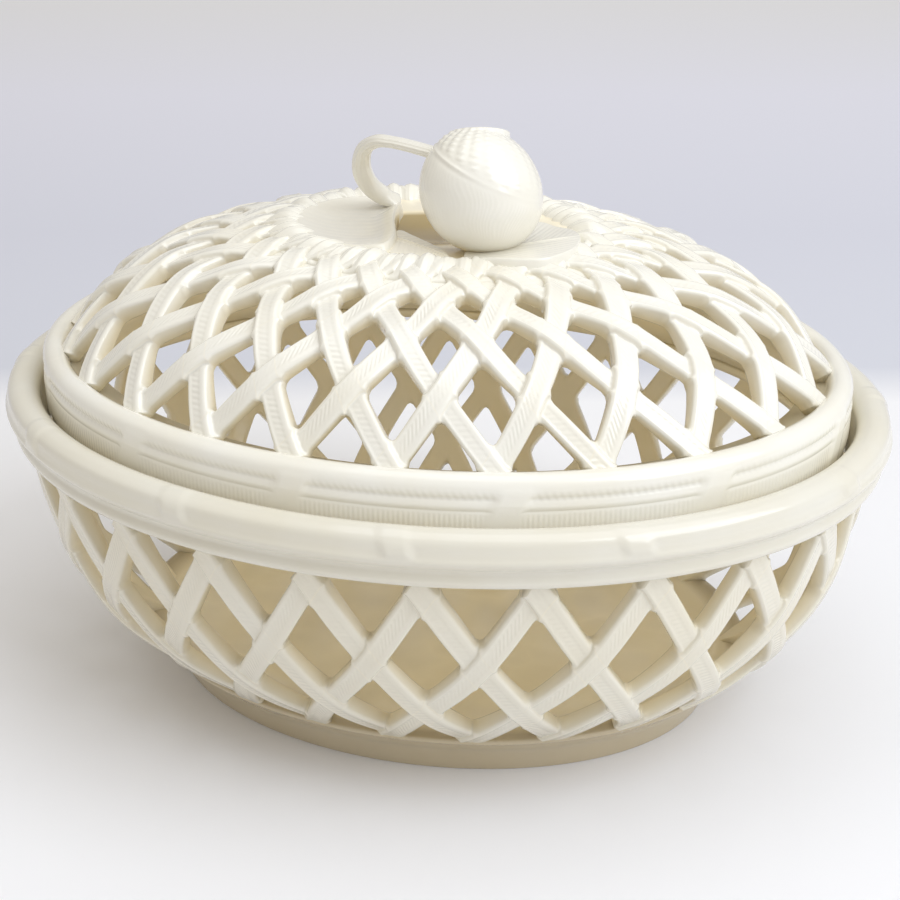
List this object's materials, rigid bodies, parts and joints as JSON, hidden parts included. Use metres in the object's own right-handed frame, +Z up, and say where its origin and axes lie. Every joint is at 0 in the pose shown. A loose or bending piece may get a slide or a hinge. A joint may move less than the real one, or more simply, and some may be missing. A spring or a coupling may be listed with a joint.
{
  "type": "reticulated covered bowl",
  "caption": "Oval pierced basket-weave bowl on a foot ring, with a domed lift-off cover of the same weave and a fruit-and-stem finial.",
  "frame": {"origin": "centre of the foot ring's underside, which is the centre of the bounding box's bottom", "axes": "+X along the oval's long axis, +Y along its short axis, +Z up, the way the cover lifts"},
  "size_m": [0.2662, 0.2108, 0.1766],
  "materials": {
    "ivory_glaze": "glossy clear lead glaze over a cream body",
    "ivory_glaze_cover": "glossy clear lead glaze over a cream body"
  },
  "bodies": {
    "bowl": {"foot_ring": "ivory_glaze", "base_dish": "ivory_glaze", "bowl_lattice": "ivory_glaze", "bowl_rim": "ivory_glaze", "seat_ledge": "ivory_glaze"},
    "cover": {"cover_flange": "ivory_glaze_cover", "cover_lattice": "ivory_glaze_cover", "cover_crown": "ivory_glaze_cover", "leaf_left": "ivory_glaze_cover", "leaf_right": "ivory_glaze_cover", "stem": "ivory_glaze_cover", "nut": "ivory_glaze_cover"}
  },
  "joints": [
    {"name": "cover_lift", "type": "slide", "parent": "bowl", "child": "cover", "axis": [0, 0, 1], "range_m": [0, 0.13]}
  ]
}
